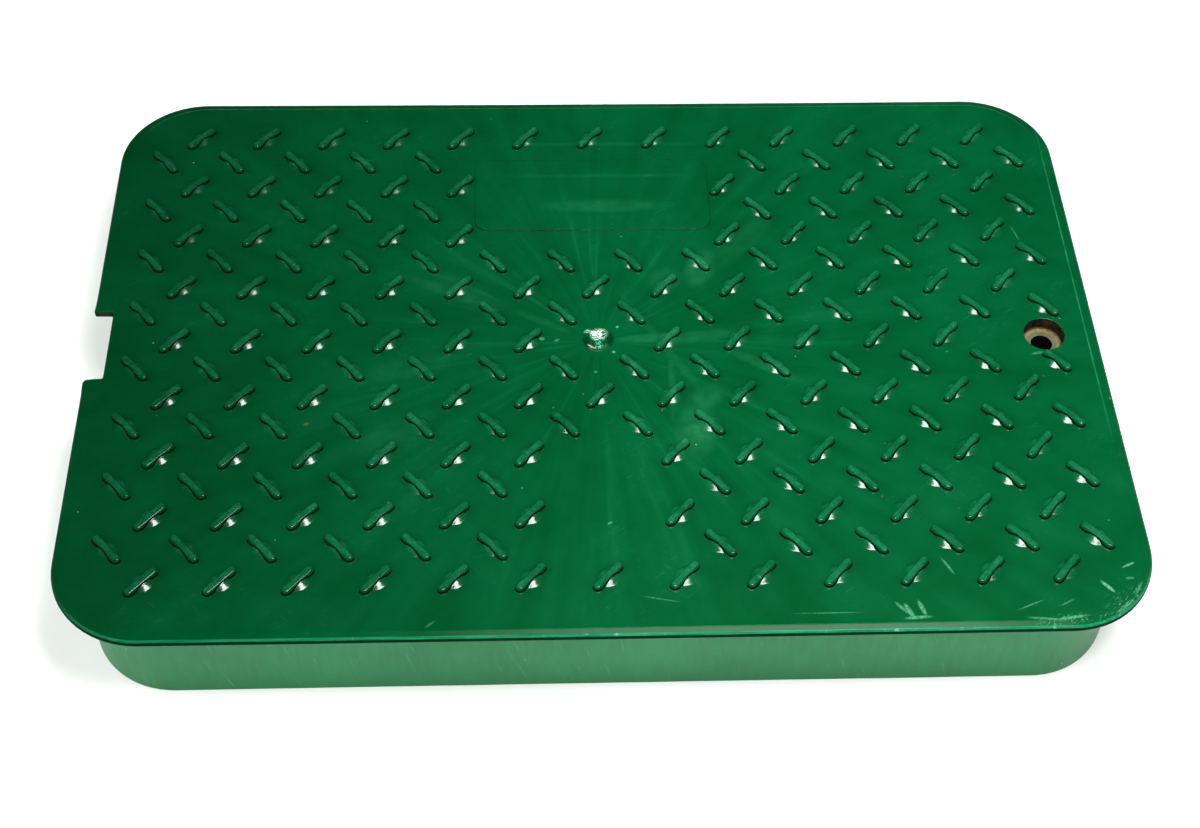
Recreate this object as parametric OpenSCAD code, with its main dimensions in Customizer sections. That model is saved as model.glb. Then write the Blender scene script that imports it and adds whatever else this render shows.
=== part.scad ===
// Rectangular treaded cover for an in-ground valve box, moulded in one piece.
// The plate overhangs an inset skirt that drops into the box opening.
// Millimetres. +Z is up, the origin is on the floor under the middle of the plate,
// the bolt hole is at +X, the lifting notch at -X and the blank badge panel at +Y.

/* [Plate] */
// Overall length of the plate along X
plate_l = 432; // [428:1:436]
// Overall width of the plate along Y
plate_w = 297; // [294:1:300]
// Radius of the four corners in plan
corner_r = 37.5; // [34:0.5:40]
// Thickness of the plate and of its overhanging flange
plate_t = 3.5; // [3.2:0.1:4]
// Radius of the rounded top edge of the rim
rim_r = 1.8; // [1.2:0.2:2.2]
// Width of the gently sloped border inside the rim
border_w = 4.4; // [4:0.2:5]
// Drop of the sloped border at its outer side
border_drop = 0.5; // [0.3:0.1:0.6]

/* [Skirt] */
// Height of the plate's top face above the floor
cover_h = 50; // [46:1:54]
// Distance the flange overhangs the skirt at the two ends
over_end = 9; // [8:0.5:10]
// Distance the flange overhangs the skirt along the two long sides
over_side = 8; // [7:0.5:9]
// Wall thickness of the skirt
skirt_t = 4; // [3:0.5:5]

/* [Ribs underneath] */
// Thickness of each rib
rib_t = 2.5; // [2:0.25:3.5]
// Clear height from the floor to the lower edge of the ribs
rib_clear = 22; // [16:1:28]
// Number of ribs running along Y
ribs_across = 9; // [5:1:9]
// Number of ribs running along X
ribs_along = 6; // [4:1:6]

/* [Bolt hole] */
// Distance of the bolt hole from the middle of the plate
bolt_x = 192.8; // [192.4:0.2:193.2]
// Diameter of the recess for the bolt head
head_d = 17.5; // [16:0.5:18.5]
// Depth of the recess below the plate's top face
head_depth = 6.5; // [5:0.5:8]
// Diameter of the through hole
bolt_d = 9; // [8:0.5:11]
// Wall thickness of the boss round the recess
boss_t = 3.5; // [2.5:0.5:4]
// Depth of the boss below the plate's top face
boss_depth = 14; // [12:1:18]

/* [Lifting notch] */
// Width of the notch along the edge
notch_w = 37.2; // [34:0.2:40]
// Offset of the notch from the middle of the edge
notch_y = -0.8; // [-4:0.2:4]

/* [Tread] */
// Spacing of the lugs along X
pitch_x = 30; // [29.8:0.1:30.2]
// Spacing of the lugs along Y
pitch_y = 30.7; // [30.4:0.1:31]
// Offset of the middle of the lug pattern along Y
tread_y = 1; // [0:0.5:2]
// Height of the lug bars above the plate
lug_h = 2; // [1.4:0.2:2.6]
// Distance between the centres of a bar's two rounded ends
lug_l = 12.7; // [11.7:0.1:13]
// Width of a lug bar
lug_w = 2.8; // [2.2:0.1:2.8]
// Angle of a lug bar from the X axis
lug_angle = 48.5; // [45:0.5:52]
// Base radius of the button under each bar
button_r = 4.6; // [4.2:0.2:5]
// Top radius of the button
button_top_r = 2; // [1.6:0.2:2.4]
// Height of the button above the plate
button_h = 1.4; // [1:0.2:1.8]

/* [Badge panel and gate mark] */
// Length of the blank panel along X
badge_l = 106; // [100:1:108]
// Width of the blank panel along Y
badge_w = 43.8; // [40:0.2:45]
// Distance of the panel's middle from the middle of the plate
badge_y = 87.7; // [86.7:0.5:89.2]
// Corner radius of the panel
badge_r = 6; // [4:0.5:8]
// Height the panel stands above the plate
badge_h = 0.4; // [0.3:0.1:0.6]
// Diameter of the conical dish round the moulding gate
gate_d = 14; // [12:0.5:15]
// Depth of that dish
gate_depth = 2; // [1.2:0.2:2.2]

/* [Hidden] */
$fn = 64;
eps = 0.6;                              // overlap of joined solids
hx = plate_l / 2;
hy = plate_w / 2;
plate_z = cover_h - plate_t;            // underside of the plate
skirt_r = corner_r - 2.5;               // the skirt's corners are fuller than a true offset
lug_cols = 13;
lug_rows = 9;
green = [0.0, 0.37, 0.2];

// Half cross-section of the plate out to its edge, measured from a line w in from the edge.
module rim_profile(w) {
    rim_z = plate_t - border_drop - rim_r;
    polygon([[0, 0], [w, 0], [w, rim_z], [w - rim_r, rim_z], [w - rim_r, rim_z + rim_r],
             [w - border_w, plate_t], [0, plate_t]]);
    translate([w - rim_r, rim_z]) intersection() {
        circle(r = rim_r);
        square([rim_r, rim_r]);
    }
}

// Rounded rectangle in plan, made from true arcs.
module round_rect(l, w, r) {
    square([l - 2 * r, w], center = true);
    square([l, w - 2 * r], center = true);
    for (sx = [-1, 1], sy = [-1, 1]) translate([sx * (l / 2 - r), sy * (w / 2 - r)]) circle(r = r);
}

// Plate with the rounded rim and the sloped border.
module plate_body() {
    for (sx = [-1, 1], sy = [-1, 1])
        translate([sx * (hx - corner_r), sy * (hy - corner_r), plate_z])
            rotate_extrude() rim_profile(corner_r);
    // long sides
    for (a = [0, 180]) rotate([0, 0, a]) translate([-(hx - corner_r), -(hy - corner_r), plate_z])
        rotate([0, 0, -90]) rotate([90, 0, 0]) translate([0, 0, -2 * (hx - corner_r)])
            linear_extrude(2 * (hx - corner_r)) rim_profile(corner_r);
    // short sides
    for (a = [0, 180]) rotate([0, 0, a]) translate([hx - corner_r, hy - corner_r, plate_z])
        rotate([90, 0, 0]) linear_extrude(2 * (hy - corner_r)) rim_profile(corner_r);
    // middle
    translate([-(hx - corner_r) - 1, -(hy - corner_r) - 1, plate_z])
        cube([2 * (hx - corner_r) + 2, 2 * (hy - corner_r) + 2, plate_t]);
}

// Inset wall that drops into the box opening.
module skirt() {
    linear_extrude(plate_z + eps) difference() {
        round_rect(plate_l - 2 * over_end, plate_w - 2 * over_side, skirt_r);
        round_rect(plate_l - 2 * (over_end + skirt_t), plate_w - 2 * (over_side + skirt_t), skirt_r - skirt_t);
    }
}

// Grid of ribs under the plate, shallower than the skirt.
module ribs() {
    in_l = plate_l - 2 * over_end - skirt_t;
    in_w = plate_w - 2 * over_side - skirt_t;
    h = plate_z + eps - rib_clear;
    for (i = [1:ribs_across]) translate([-in_l / 2 + i * in_l / (ribs_across + 1) - rib_t / 2, -in_w / 2, rib_clear])
        cube([rib_t, in_w, h]);
    for (j = [1:ribs_along]) translate([-in_l / 2, -in_w / 2 + j * in_w / (ribs_along + 1) - rib_t / 2, rib_clear])
        cube([in_l, rib_t, h]);
}

// Boss that carries the bolt recess.
module boss() {
    translate([bolt_x, 0, cover_h - boss_depth]) cylinder(h = boss_depth - plate_t + eps, r = head_d / 2 + boss_t);
}

// Recess and through hole for the hold-down bolt.
module bolt_cut() {
    translate([bolt_x, 0, cover_h - head_depth]) cylinder(h = head_depth + 5, d = head_d);
    translate([bolt_x, 0, cover_h - boss_depth - 1]) cylinder(h = boss_depth, d = bolt_d);
}

// Notch through the flange, back to the skirt's outer face.
module notch_cut() {
    translate([-hx - 5, notch_y - notch_w / 2, plate_z - 1]) cube([5 + over_end, notch_w, plate_t + 2]);
}

// One tread lug: a round-ended bar across a low button; cut shortens the bar at one end.
module lug(angle, cut = 0) {
    rotate([0, 0, angle]) {
        translate([0, 0, -eps]) linear_extrude(lug_h + eps) {
            translate([-lug_l / 2 + cut, -lug_w / 2]) square([lug_l - cut, lug_w]);
            translate([-lug_l / 2 + cut, 0]) circle(d = lug_w);
            translate([lug_l / 2, 0]) circle(d = lug_w);
        }
        cylinder(h = button_h, r1 = button_r, r2 = button_top_r);
        translate([0, 0, -eps]) cylinder(h = eps, r = button_r);
    }
}

// Places left without a lug: badge panel, gate mark, bolt hole and the plain round at the front.
function no_right(i, j) = (i >= 5 && i <= 7 && j >= 1 && j <= 2) || (i == 6 && (j == 4 || j == 6 || j == 7)) || (i == 12 && j == 4);
function no_left(i, j) = (i >= 5 && i <= 8 && j <= 1) || (i >= 6 && i <= 7 && j >= 6);

// The lug in front of the bolt recess has a shorter bar and stands a little off its grid point, clear of the recess.
function beside_recess(i, j) = i == lug_cols && j == 4;

// Two interleaved grids of lugs that lean opposite ways.
module tread() {
    for (i = [0:lug_cols - 1], j = [0:lug_rows - 1]) if (!no_right(i, j))
        translate([(i - 6) * pitch_x, tread_y + (4 - j) * pitch_y, cover_h]) lug(lug_angle);
    for (i = [0:lug_cols], j = [0:lug_rows - 2]) if (!no_left(i, j))
        translate([(i - 6.5) * pitch_x - (beside_recess(i, j) ? 0.2 : 0),
                   tread_y + (3.5 - j) * pitch_y - (beside_recess(i, j) ? 0.7 : 0), cover_h])
            lug(-lug_angle, beside_recess(i, j) ? 1.9 : 0);
}

// Blank panel, slightly raised.
module badge() {
    translate([0, badge_y, cover_h - eps]) linear_extrude(badge_h + eps) round_rect(badge_l, badge_w, badge_r);
}

// Conical dish with the small stub of the moulding gate.
module gate_cut() {
    translate([0, tread_y, cover_h - gate_depth]) cylinder(h = gate_depth, r1 = gate_d / 2 - 4.6, r2 = gate_d / 2);
}
module gate_stub() {
    translate([0, tread_y, cover_h - gate_depth - eps]) cylinder(h = gate_depth + eps - 0.4, r1 = 2, r2 = 1.4);
}

module cover() color(green) {
    difference() {
        union() {
            plate_body();
            skirt();
            ribs();
            boss();
            tread();
            badge();
        }
        bolt_cut();
        notch_cut();
        gate_cut();
    }
    gate_stub();
}

cover();
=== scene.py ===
import math
import bpy
import bmesh
import numpy as np
from mathutils import Matrix, Vector
from mathutils.geometry import delaunay_2d_cdt


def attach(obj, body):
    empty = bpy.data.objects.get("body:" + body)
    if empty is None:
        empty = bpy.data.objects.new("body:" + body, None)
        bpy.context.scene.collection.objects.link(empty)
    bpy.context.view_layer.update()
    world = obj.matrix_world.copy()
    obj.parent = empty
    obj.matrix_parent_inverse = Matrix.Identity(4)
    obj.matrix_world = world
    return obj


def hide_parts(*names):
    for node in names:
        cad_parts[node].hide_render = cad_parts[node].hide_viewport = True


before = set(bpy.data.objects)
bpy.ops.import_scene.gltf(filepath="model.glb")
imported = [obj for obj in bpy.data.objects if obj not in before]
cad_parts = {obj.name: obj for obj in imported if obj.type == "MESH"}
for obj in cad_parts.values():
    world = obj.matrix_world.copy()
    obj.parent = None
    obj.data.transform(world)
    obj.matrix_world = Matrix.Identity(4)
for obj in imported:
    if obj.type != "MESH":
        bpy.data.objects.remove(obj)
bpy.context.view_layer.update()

rng = np.random.default_rng(7)

# ------------------------------------------------------------------ camera
cam_data = bpy.data.cameras.new("camera")
cam = bpy.data.objects.new("camera", cam_data)
bpy.context.scene.collection.objects.link(cam)
CAM_AXES = ((0.9991900, 0.0114293, -0.0385838),
            (-0.0332784, 0.7737716, -0.6325900),
            (0.0226250, 0.6333616, 0.7735252))
CAM_LOC = (-0.0308827, -0.5463453, 0.6852679)
F_PX, PP_X, PP_Y, IMG_W, IMG_H = 1960.0, 602.0, 386.0, 1200.0, 828.0
cam.matrix_world = Matrix.Translation(CAM_LOC) @ Matrix(CAM_AXES).to_4x4()
cam_data.sensor_fit = "HORIZONTAL"
cam_data.sensor_width = 36.0
cam_data.lens = F_PX / IMG_W * 36.0
cam_data.shift_x = (IMG_W / 2 - PP_X) / IMG_W
cam_data.shift_y = (PP_Y - IMG_H / 2) / IMG_W
cam_data.clip_start, cam_data.clip_end = 0.01, 50.0
cam_data.dof.use_dof = False
bpy.context.scene.camera = cam

# ------------------------------------------------------------------ sizes, millimetres, as in the CAD
HX, HY, CR = 216.0, 148.5, 37.5
TOP, PLATE_T = 50.0, 3.5
OVER_X, OVER_Y, SKIRT_T, SKIRT_R = 9.0, 8.0, 4.0, 35.0
PX, PY, TREAD_Y = 30.0, 30.7, 1.0
LUG_H, LUG_L, LUG_R, LUG_A = 2.0, 12.7, 1.38, math.radians(48.5)
BX, HEAD_R, HEAD_D, BOLT_R, BOSS_R, BOSS_Z = 192.8, 8.75, 6.5, 4.5, 12.25, 36.0
RIB_T, RIB_Z = 2.5, 22.0
BADGE = (53.0, 21.9, 6.0, 87.7, 0.4)
NOTCH_Y, NOTCH_W, NOTCH_X = -0.8, 18.6, -207.6
CREASE = (211.0, 144.6, 33.5, -0.5)                              # half sizes, corner and y centre of the line inside the rim


def smooth(t):
    t = np.clip(t, 0.0, 1.0)
    return t * t * (3 - 2 * t)


def rr_sdf(x, y, hx, hy, r):
    qx, qy = np.abs(x) - (hx - r), np.abs(y) - (hy - r)
    return np.hypot(np.maximum(qx, 0), np.maximum(qy, 0)) + np.minimum(np.maximum(qx, qy), 0) - r


def dish(x, y):
    """How far the real plate has sagged below a flat one."""
    a = np.clip(1 - (x / HX) ** 2, 0, 1)
    b = np.clip(1 - (y / HY) ** 2, 0, 1)
    return 2.55 * a * b + 0.51 * a


# a lug's bar, as height over distance from its outline, and its button, as height over radius
BAR_D = np.array([-2.0, -0.32, -0.24, -0.12, -0.02, 0.06, 0.14, 0.22, 0.53, 0.60, 0.68, 0.9])
BAR_Z = np.array([2.0, 2.0, 1.985, 1.935, 1.865, 1.77, 1.63, 1.38, 0.22, 0.08, 0.0, 0.0])
BUT_P = np.array([0.0, 1.5, 1.9, 2.2, 4.3, 4.55, 4.75, 9.0])
BUT_Z = np.array([1.45, 1.44, 1.38, 1.26, 0.14, 0.04, 0.0, 0.0])


def bar_edge(u, v, cut=0.0, half=LUG_L / 2):
    """Distance from a bar's outline, and which way is out, in the lug's own axes; cut shortens one end."""
    w = u - cut / 2
    qu = np.sign(w) * np.maximum(np.abs(w) - (half - cut / 2), 0)
    n = np.hypot(qu, v)
    return n - LUG_R, qu / np.maximum(n, 1e-6), v / np.maximum(n, 1e-6)


def lug_marks(u, v, a, cut=0.0):
    """The painted shade along a bar's front wall and ends, and the part of a lug that gets trodden on, both 0 to 1."""
    d, nu, nv = bar_edge(u, v, cut)
    meet = np.minimum(np.interp(-np.interp(np.hypot(u, v), BUT_P, BUT_Z), -BAR_Z, BAR_D), 0.6)
    front = smooth((0.45 - (nu * math.sin(a) + nv * math.cos(a))) / 0.8)
    wall_shade = np.interp(d - meet, [-0.30, -0.12, 0.10, 0.27], [0, 1, 1, 0]) * front
    return wall_shade, np.maximum(np.interp(d, [-0.4, -0.15], [1, 0]), 0.9 * np.interp(np.hypot(u, v), [2.2, 3.6], [1, 0]) * (d > 0.1))


def lug_height(u, v, cut=0.0):
    return np.maximum(np.interp(bar_edge(u, v, cut)[0], BAR_D, BAR_Z), np.interp(np.hypot(u, v), BUT_P, BUT_Z))


NEAR_LUG = (195.0 - 0.2, TREAD_Y - 0.5 * PY - 0.7, -LUG_A)      # the lug in front of the bolt recess
NEAR_CUT = 1.9                                                   # how much shorter its bar is


def local(x, y, cx, cy, a):
    c, s = math.cos(a), math.sin(a)
    return (x - cx) * c + (y - cy) * s, -(x - cx) * s + (y - cy) * c


# the rounded edge as inset and drop, outward and down
RIM = ((1.25, 0.62), (1.0, 0.73), (0.78, 0.88), (0.56, 1.09), (0.36, 1.36), (0.2, 1.68), (0.08, 2.06), (0.0, 2.55))
RIM_N = ((0.6, 0.0), (0.5, 0.01), (0.4, 0.035), (0.3, 0.08), (0.2, 0.155), (0.11, 0.26), (0.03, 0.42), (0.0, 0.6))


def z_top(x, y):
    """The treaded face without the separate lug patches."""
    inset = -rr_sdf(x, y, HX, HY, CR)
    z = TOP - dish(x, y)
    s = np.maximum(rr_sdf(x, y - CREASE[3], *CREASE[:3]), 0)           # how far outside the crease
    z = z - 0.10 * smooth(s / 0.35) - RIM[0][1] * s / np.maximum(inset + s - RIM[0][0], 0.3) * (s > 0)
    b = rr_sdf(x, y - BADGE[3], BADGE[0], BADGE[1], BADGE[2])
    z = z + BADGE[4] * smooth((0.08 - b) / 0.16)
    return z + lug_height(*local(x, y, *NEAR_LUG), NEAR_CUT)


# ------------------------------------------------------------------ mesh gathering
class Skin:
    def __init__(self):
        self.v, self.f, self.n = [], [], 0
        self.tag = {"painted_shade": [], "lugtop": [], "rim": [], "skirt": [], "inner": []}

    def add(self, x, y, z, **tags):
        x, y, z = np.broadcast_arrays(np.asarray(x, float), np.asarray(y, float), np.asarray(z, float))
        base = self.n
        self.v.append(np.stack([x.ravel(), y.ravel(), z.ravel()], 1))
        self.n += x.size
        for k, v in self.tag.items():
            v.append(np.broadcast_to(np.asarray(tags.get(k, 0.0), float), x.shape).ravel())
        return np.arange(base, base + x.size)

    def loft(self, a, b):
        """Quads between two closed rings of the same length."""
        n = len(a)
        for i in range(n):
            j = (i + 1) % n
            self.f.append((int(a[i]), int(a[j]), int(b[j]), int(b[i])))

    def points(self):
        return np.concatenate(self.v)


def triangulate(pts, edges):
    """Constrained Delaunay over 2D points. Returns points, triangles and each output point's input index."""
    r = delaunay_2d_cdt([Vector((float(p[0]), float(p[1]))) for p in pts], [tuple(map(int, e)) for e in edges], [], 0, 1e-7, True)
    out = np.array([(v[0], v[1]) for v in r[0]])
    tris = np.array([f for f in r[2] if len(f) == 3])
    src = [o[0] if len(o) else -1 for o in r[3]]
    area = np.cross(out[tris[:, 1]] - out[tris[:, 0]], out[tris[:, 2]] - out[tris[:, 0]])
    tris[area < 0] = tris[area < 0][:, ::-1]
    return out, tris[np.abs(area) > 1e-9], src


def inside(px, py, poly):
    """Which points are inside a closed polygon."""
    odd = np.zeros(len(px), bool)
    x0, y0 = poly[:, 0], poly[:, 1]
    x1, y1 = np.roll(x0, -1), np.roll(y0, -1)
    for a, b, c, d in zip(x0, y0, x1, y1):
        if b == d:
            continue
        hit = ((b > py) != (d > py)) & (px < (c - a) * (py - b) / (d - b) + a)
        odd ^= hit
    return odd


def ring_edges(start, n, closed=True):
    return [(start + i, start + (i + 1) % n) for i in range(n if closed else n - 1)]


# ------------------------------------------------------------------ outlines
def arc(cx, cy, r, a0, a1, n, out=1):
    t = np.radians(np.linspace(a0, a1, n + 1))
    return [(cx + r * math.cos(a), cy + r * math.sin(a), out * math.cos(a), out * math.sin(a)) for a in t]


def line(x0, y0, x1, y1, step):
    """Points strictly between two ends, with the outward normal of a path that keeps its inside on the left."""
    L = math.hypot(x1 - x0, y1 - y0)
    k = max(1, int(round(L / step)))
    nx, ny = (y1 - y0) / L, -(x1 - x0) / L
    return [(x0 + (x1 - x0) * i / k, y0 + (y1 - y0) * i / k, nx, ny) for i in range(1, k)]


def flange_outline():
    x, y, r = HX, HY, CR
    hi, lo = NOTCH_Y + NOTCH_W, NOTCH_Y - NOTCH_W
    ra, rb, rc = 0.9, 1.0, 2.1
    p = line(x, -(y - r), x, y - r, 5)
    p += arc(x - r, y - r, r, 0, 90, 18)
    p += line(x - r, y, -(x - r), y, 5)
    p += arc(-(x - r), y - r, r, 90, 180, 18)
    p += line(-x, y - r, -x, hi + ra, 3)
    p += arc(-x + ra, hi + ra, ra, 180, 270, 6)
    p += line(-x + ra, hi, NOTCH_X - rb, hi, 1.0)
    p += arc(NOTCH_X - rb, hi - rb, rb, 90, 0, 6, -1)
    p += line(NOTCH_X, hi - rb, NOTCH_X, lo + rb, 2.5)
    p += arc(NOTCH_X - rb, lo + rb, rb, 0, -90, 6, -1)
    p += line(NOTCH_X - rb, lo, -x + rc, lo, 1.0)
    p += arc(-x + rc, lo - rc, rc, 90, 180, 7)
    p += line(-x, lo - rc, -x, -(y - r), 3)
    p += arc(-(x - r), -(y - r), r, 180, 270, 18)
    p += line(-(x - r), -y, x - r, -y, 4)
    p += arc(x - r, -(y - r), r, 270, 360, 18)
    return np.array(p)


def rr_outline(hx, hy, r, step, n_arc, extra=()):
    """Rounded rectangle; extra gives coordinates on the straight sides that must be points."""
    p = []
    corners = ((hx - r, hy - r, 0), (-(hx - r), hy - r, 90), (-(hx - r), -(hy - r), 180), (hx - r, -(hy - r), 270))
    for k, (cx, cy, a0) in enumerate(corners):
        p += arc(cx, cy, r, a0, a0 + 90, n_arc)
        nx, ny = corners[(k + 1) % 4][:2]
        a1 = math.radians(a0 + 90)
        s = (cx + r * math.cos(a1), cy + r * math.sin(a1))
        e = (nx + r * math.cos(a1), ny + r * math.sin(a1))
        pts = line(*s, *e, step)
        if extra:
            axis = 0 if abs(e[0] - s[0]) > abs(e[1] - s[1]) else 1
            must = [v for v in extra[axis] if min(s[axis], e[axis]) + 0.5 < v < max(s[axis], e[axis]) - 0.5]
            pts = [q for q in pts if all(abs(q[axis] - v) > 1.2 for v in must)]
            nrm = (math.cos(a1), math.sin(a1))
            for v in must:
                q = [s[0], s[1], nrm[0], nrm[1]]
                q[axis] = v
                pts.append(tuple(q))
            sign = 1 if e[axis] > s[axis] else -1
            pts.sort(key=lambda q: sign * q[axis])
        p += pts
    return np.array(p)


S = Skin()
O = flange_outline()
near = smooth(1 - (np.abs(O[:, 1] - NOTCH_Y) - NOTCH_W) / 9.0) * (O[:, 0] < -150)
prof = [(a[0] * (1 - near) + b[0] * near, a[1] * (1 - near) + b[1] * near) for a, b in zip(RIM, RIM_N)]
rho = prof[0][0]
low = 0.30 + (0.10 - 0.30) * near


def off(P, d):
    return P[:, 0] - P[:, 2] * d, P[:, 1] - P[:, 3] * d


# rim, from the face down and round to the flange's underside, with painted shade on its lower rings, where it faces
# left and underneath
x, y = off(O, rho)
edge_z = z_top(x, y)
rim = [S.add(x, y, edge_z)]
for inset, drop in prof[1:]:
    x, y = off(O, inset)
    rim.append(S.add(x, y, edge_z - drop + prof[0][1], rim=1,
                     painted_shade=np.maximum(np.interp(drop - low, [0.9, 1.5], [0, 0.85]), 0.42 * smooth((-O[:, 2] - 0.5) / 0.4) * (inset < 1.1))))
under = TOP - PLATE_T - dish(O[:, 0], O[:, 1])
wall_top = edge_z - prof[-1][1] + prof[0][1]
for k in (1.0,):
    rim.append(S.add(O[:, 0], O[:, 1], wall_top + (under + low - wall_top) * k, rim=1, painted_shade=0.5))
for deg in (35, 65, 90):
    t = math.radians(deg)
    x, y = off(O, low * (1 - math.cos(t)))
    rim.append(S.add(x, y, under + low * (1 - math.sin(t)), rim=1, painted_shade=0.5))
for a, b in zip(rim[:-1], rim[1:]):
    S.loft(a, b)
    for k in range(len(S.f) - len(a), len(S.f)):
        S.f[k] = S.f[k][::-1]

# ------------------------------------------------------------------ lugs
def contour(d, n_cap, n_side, cut=0.0, half=LUG_L / 2):
    """Points round the bar at distance d from its outline."""
    r = LUG_R + d
    p = []
    for s, a0 in ((1, -90), (-1, 90)):
        end = s * half if s > 0 else cut - half
        for t in np.radians(np.linspace(a0, a0 + 180, n_cap + 1)):
            p.append((end + r * math.cos(t), r * math.sin(t)))
        for k in range(1, n_side):
            p.append((end - s * (2 * half - cut) * k / n_side, s * r))
    return np.array(p)


def lug_points(cut=0.0):
    """Points, constraint edges and outer ring of one lug, in its own axes (u along the bar)."""
    n_out = 40
    ph = np.arange(n_out) * 2 * math.pi / n_out
    ring = []
    for a in ph:
        c, s = abs(math.cos(a)), abs(math.sin(a))
        r = 6.3
        w, h = LUG_R + 0.94, LUG_L / 2
        # where a ray leaves the bar's outline grown past its base fillet
        t_side = w / s if s > 1e-6 else 1e9
        if t_side * c <= h:
            r = max(r, t_side)
        else:
            b = -h * c
            r = max(r, -b + math.sqrt(max(b * b - (h * h - w * w), 0)))
        ring.append((r * math.cos(a), r * math.sin(a)))
    pts, edges = [tuple(p) for p in ring], ring_edges(0, n_out)
    for u in np.linspace(cut - LUG_L / 2, LUG_L / 2, 6):
        pts.append((u, 0.0))
    for d, cap, side in ((-0.75, 4, 5), (-0.32, 6, 6), (-0.14, 6, 6), (0.0, 6, 6), (0.12, 6, 7), (0.26, 6, 7), (0.46, 6, 6), (0.62, 6, 6), (0.75, 6, 6)):
        c = contour(d, cap, side, cut)
        edges += ring_edges(len(pts), len(c))
        pts += [tuple(p) for p in c]
    for r, n in ((5.5, 26), (4.85, 28), (4.6, 28), (4.3, 28), (3.7, 26), (3.1, 24), (2.5, 20), (2.1, 14)):
        keep = []
        for k in range(n):
            a = 2 * math.pi * (k + 0.5 * (n % 4 == 0)) / n
            u, v = r * math.cos(a), r * math.sin(a)
            if bar_edge(u, v, cut)[0] > 1.0:
                keep.append((u, v))
        pts += keep
    return np.array(pts), edges, n_out


lug_p, lug_e, LUG_N = lug_points()
_, lug_t, lug_src = triangulate(lug_p, lug_e)
lug_q = _
ctr = lug_q[lug_t].mean(1)
lug_t = lug_t[inside(ctr[:, 0], ctr[:, 1], lug_p[:LUG_N])]
lug_of = {s: k for k, s in enumerate(lug_src) if s >= 0}


def no_right(i, j):
    return (5 <= i <= 7 and 1 <= j <= 2) or (i == 6 and j in (4, 6, 7)) or (i == 12 and j == 4)


def no_left(i, j):
    return (5 <= i <= 8 and j <= 1) or (6 <= i <= 7 and j >= 6)


lugs = [((i - 6) * PX, TREAD_Y + (4 - j) * PY, LUG_A) for i in range(13) for j in range(9) if not no_right(i, j)]
lugs += [((i - 6.5) * PX, TREAD_Y + (3.5 - j) * PY, -LUG_A) for i in range(14) for j in range(8) if not no_left(i, j) and (i, j) != (13, 4)]

top_p, top_e, top_id, holes = [], [], [], []


def put(xs, ys, ids=None, closed=None):
    """Adds points to the face's triangulation; ids are skin vertices they already have."""
    base = len(top_p)
    for k, (a, b) in enumerate(zip(xs, ys)):
        top_p.append((a, b))
        top_id.append(-1 if ids is None else int(ids[k]))
    if closed is not None:
        top_e.extend(ring_edges(base, len(xs), closed))
    return base


x, y = off(O, rho)
put(x, y, rim[0], True)
face_outline = np.stack([x, y], 1)

for cx, cy, a in lugs:
    c, s = math.cos(a), math.sin(a)
    X = cx + lug_q[:, 0] * c - lug_q[:, 1] * s
    Y = cy + lug_q[:, 0] * s + lug_q[:, 1] * c
    wear = 1.0 - 0.03 * rng.random()
    # painted shade along each bar's lower wall and ends, carried in a mesh attribute
    gr, tp_ = lug_marks(lug_q[:, 0], lug_q[:, 1], a)
    ids = S.add(X, Y, z_top(X, Y) + wear * lug_height(lug_q[:, 0], lug_q[:, 1]), painted_shade=gr, lugtop=tp_)
    for t in lug_t:
        S.f.append((int(ids[t[0]]), int(ids[t[1]]), int(ids[t[2]])))
    ring = [ids[lug_of[k]] for k in range(LUG_N)]
    put(X[[lug_of[k] for k in range(LUG_N)]], Y[[lug_of[k] for k in range(LUG_N)]], ring, True)
    holes.append((cx, cy, np.stack([X[[lug_of[k] for k in range(LUG_N)]], Y[[lug_of[k] for k in range(LUG_N)]]], 1)))

# bolt recess, from the rim down to the through hole
NR = 56
ra = np.arange(NR) * 2 * math.pi / NR
ca, sa = np.cos(ra), np.sin(ra)
x, y = BX + 9.0 * ca, 9.0 * sa
zt = z_top(x, y)
rec = [S.add(x, y, zt)]
put(x, y, rec[0], True)
holes.append((BX, 0.0, np.stack([x, y], 1)))
for deg in (20, 40, 60, 80, 90):
    t = math.radians(deg)
    r = HEAD_R + 0.25 * (1 - math.sin(t))
    rec.append(S.add(BX + r * ca, r * sa, zt - 0.4 * (1 - math.cos(t))))
ledge = TOP - dish(BX, 0.0) - HEAD_D
for k in (0.35, 0.7, 1.0):
    rec.append(S.add(BX + HEAD_R * ca, HEAD_R * sa, (zt - 0.4) * (1 - k) + (ledge + 0.9) * k))
soil = [0.35 * math.sin(3 * a + 0.6) + 0.25 * math.sin(7 * a + 2.1) + 0.15 * math.sin(13 * a + 4.0) for a in ra]
soil = np.array(soil)
for r, h in ((8.5, 0.75), (8.1, 0.62), (7.5, 0.5), (6.8, 0.34), (6.1, 0.16), (5.5, 0.06), (4.8, 0.0)):
    jag = 0.12 * soil * (1 if r > 5.5 else 0.3)
    rec.append(S.add(BX + (r + 0.5 * jag) * ca, (r + 0.5 * jag) * sa, ledge + h * (1 + 0.6 * soil)))
for r, z in ((4.6, ledge - 0.08), (BOLT_R, ledge - 0.3), (BOLT_R, 0.5 * (ledge + BOSS_Z)), (BOLT_R, BOSS_Z + 0.3), (BOLT_R + 0.25, BOSS_Z)):
    rec.append(S.add(BX + r * ca, r * sa, z))
for a, b in zip(rec[:-1], rec[1:]):
    S.loft(a, b)

# gate mark, a shallow dish with a torn stub
NG = 40
ga = np.arange(NG) * 2 * math.pi / NG


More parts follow.
